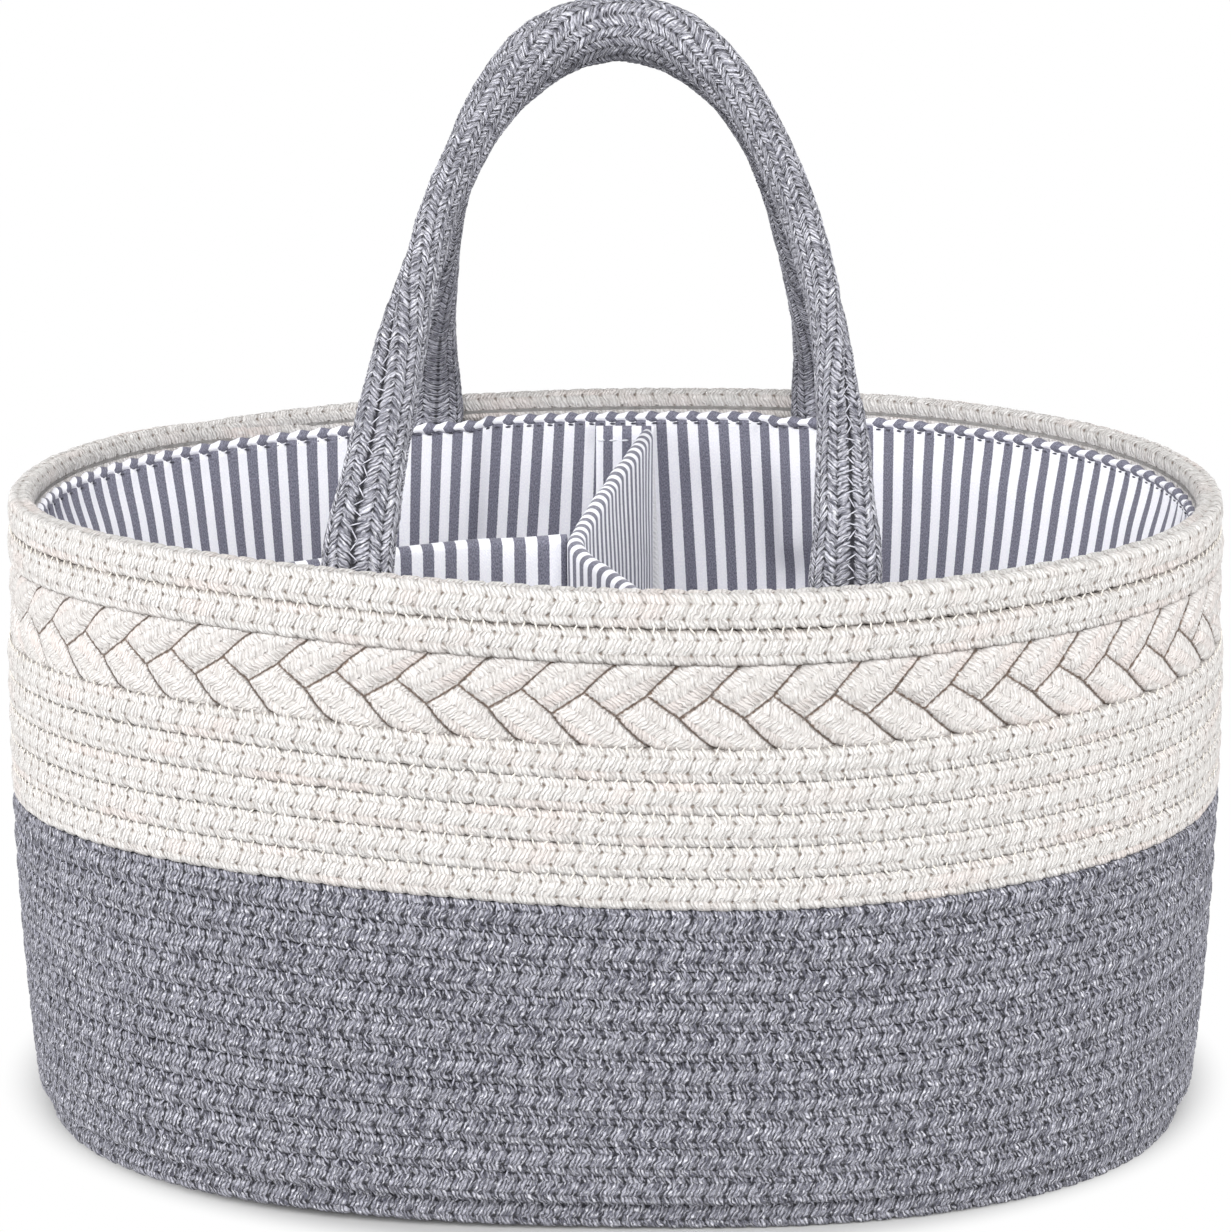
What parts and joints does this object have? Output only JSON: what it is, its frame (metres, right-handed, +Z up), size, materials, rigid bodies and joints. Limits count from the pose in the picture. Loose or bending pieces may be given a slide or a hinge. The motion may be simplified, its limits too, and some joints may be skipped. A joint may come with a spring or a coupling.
{
  "type": "diaper caddy",
  "caption": "Oval coiled-rope diaper caddy with a striped lining, a padded lift-out divider and folding strap handles.",
  "frame": {"origin": "centre of the underside of the rope base, on the surface that the caddy stands on", "axes": "+X along the caddy's length to the right, +Y from the front wall to the back wall, +Z up"},
  "size_m": [0.384, 0.2644, 0.3492],
  "materials": {
    "grey_rope": "matt",
    "cream_rope": "matt",
    "striped_twill": "matt",
    "braided_strap": "matt",
    "core_rope": "matt",
    "felt_board": "matt",
    "loop_tape": "matt"
  },
  "bodies": {
    "basket": {"base_coil": "grey_rope", "wall_grey": "grey_rope", "wall_cream": "cream_rope", "plait_strand_1": "cream_rope", "plait_strand_2": "cream_rope", "plait_strand_3": "cream_rope", "rim_rope": "cream_rope", "lining_wall": "striped_twill", "lining_hem": "striped_twill", "lining_floor": "striped_twill", "front_handle_left_tail": "braided_strap", "front_handle_right_tail": "braided_strap", "back_handle_left_tail": "braided_strap", "back_handle_right_tail": "braided_strap", "back_loop_patch": "loop_tape", "front_loop_patch": "loop_tape", "side_loop_patch": "loop_tape"},
    "front_handle": {"front_handle_sleeve": "braided_strap", "front_handle_core": "core_rope"},
    "back_handle": {"back_handle_sleeve": "braided_strap", "back_handle_core": "core_rope"},
    "divider": {"cross_panel_cover": "striped_twill", "cross_panel_board": "felt_board", "side_panel_cover": "striped_twill", "side_panel_board": "felt_board", "back_tab": "striped_twill", "front_tab": "striped_twill", "side_tab": "striped_twill"}
  },
  "joints": [
    {"name": "front_handle_swing", "type": "hinge", "parent": "basket", "child": "front_handle", "pos_m": [0, -0.12369, 0.1949], "axis": [1, 0, 0], "range_deg": [0, 180]},
    {"name": "back_handle_swing", "type": "hinge", "parent": "basket", "child": "back_handle", "pos_m": [0, 0.12456, 0.1949], "axis": [-1, 0, 0], "range_deg": [0, 180]},
    {"name": "divider_lift", "type": "slide", "parent": "basket", "child": "divider", "axis": [0, 0, 1], "range_m": [0, 0.095]}
  ]
}
